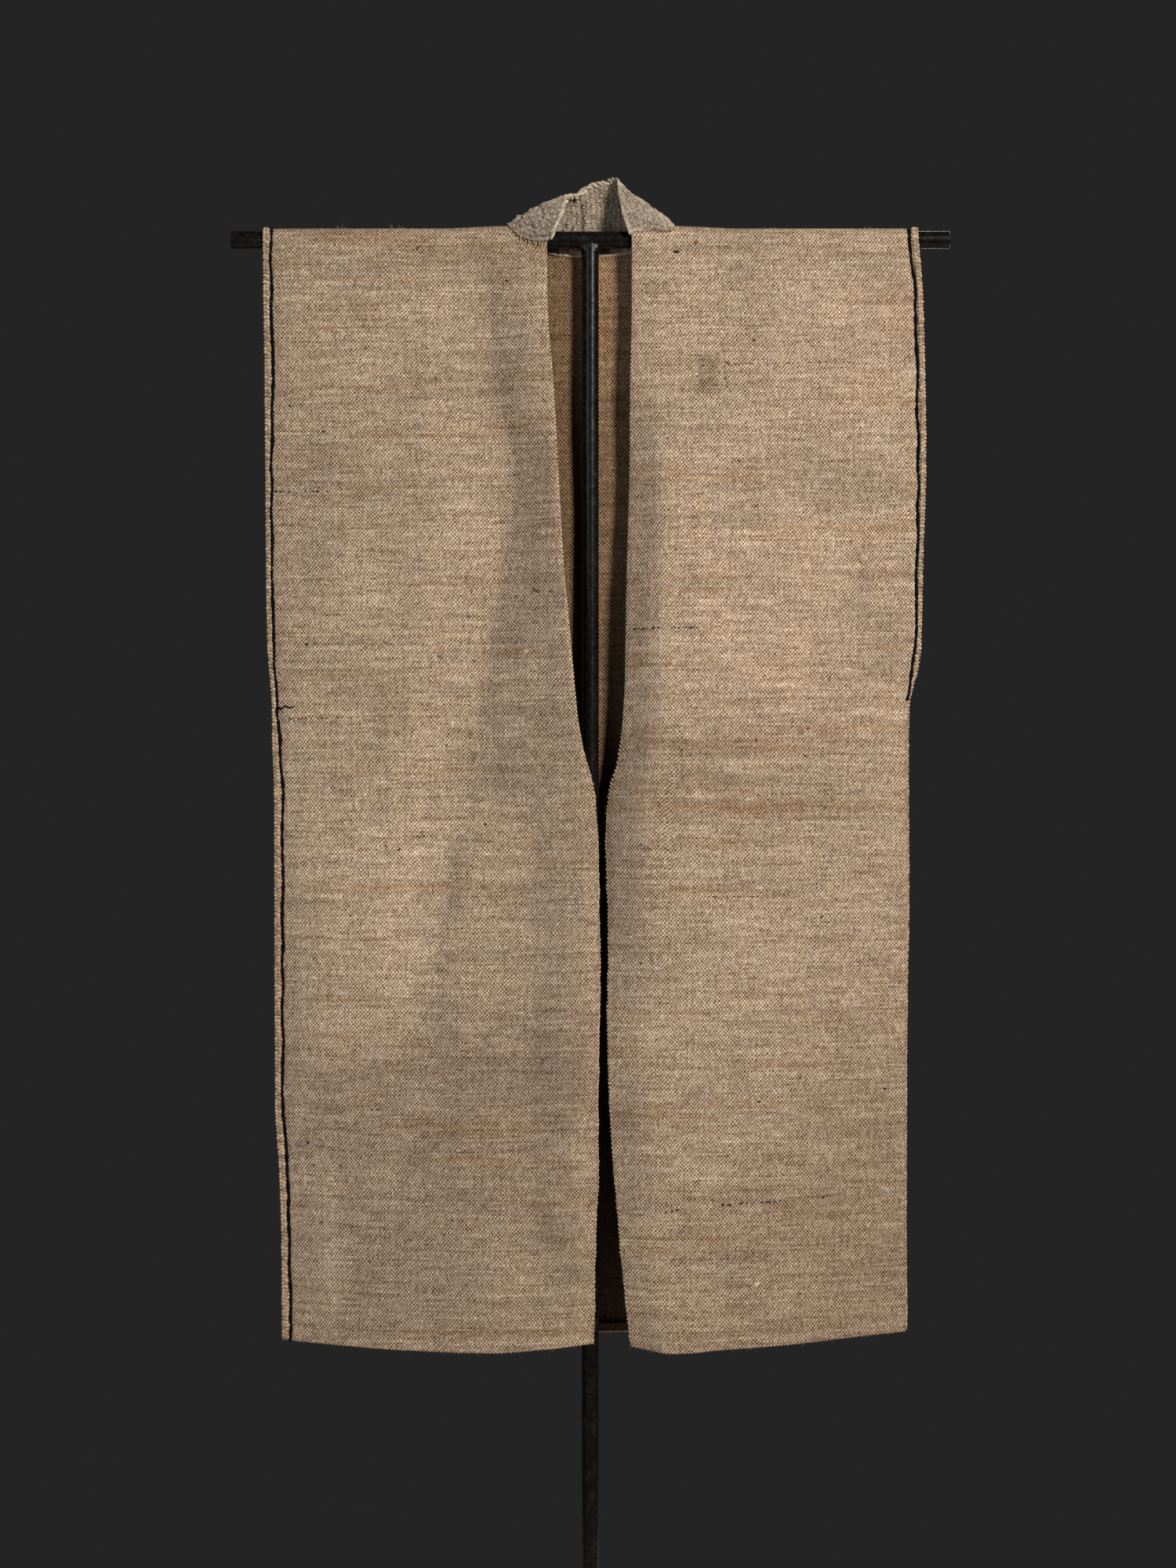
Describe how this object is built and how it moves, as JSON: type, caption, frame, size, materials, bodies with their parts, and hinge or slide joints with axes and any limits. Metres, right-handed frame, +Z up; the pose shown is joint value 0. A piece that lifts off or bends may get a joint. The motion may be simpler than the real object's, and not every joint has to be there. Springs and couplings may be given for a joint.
{
  "type": "sleeveless work coat on a display stand",
  "caption": "Knee-length sleeveless work coat of thick handwoven cloth with an open front and a quilted neckband, hanging on a blackened steel T stand with a plain square base.",
  "frame": {"origin": "middle of the underside of the base plate, on the floor and under the post", "axes": "+Z up along the post; +X along the crossbar, to the right of a viewer who faces the open front; the open front faces -Y"},
  "size_m": [0.68, 0.3, 1.5623],
  "materials": {
    "blackened_steel": "forged, blackened, satin",
    "handwoven_cloth": "coarse plain weave of undyed bast yarn, matt",
    "quilted_cotton": "quilted cotton, matt"
  },
  "bodies": {
    "root": {"base_plate": "blackened_steel", "post": "blackened_steel", "crossbar": "blackened_steel", "body_left_front": "handwoven_cloth", "body_left_back": "handwoven_cloth", "body_right_front": "handwoven_cloth", "body_right_back": "handwoven_cloth", "collar": "quilted_cotton"}
  },
  "joints": []
}
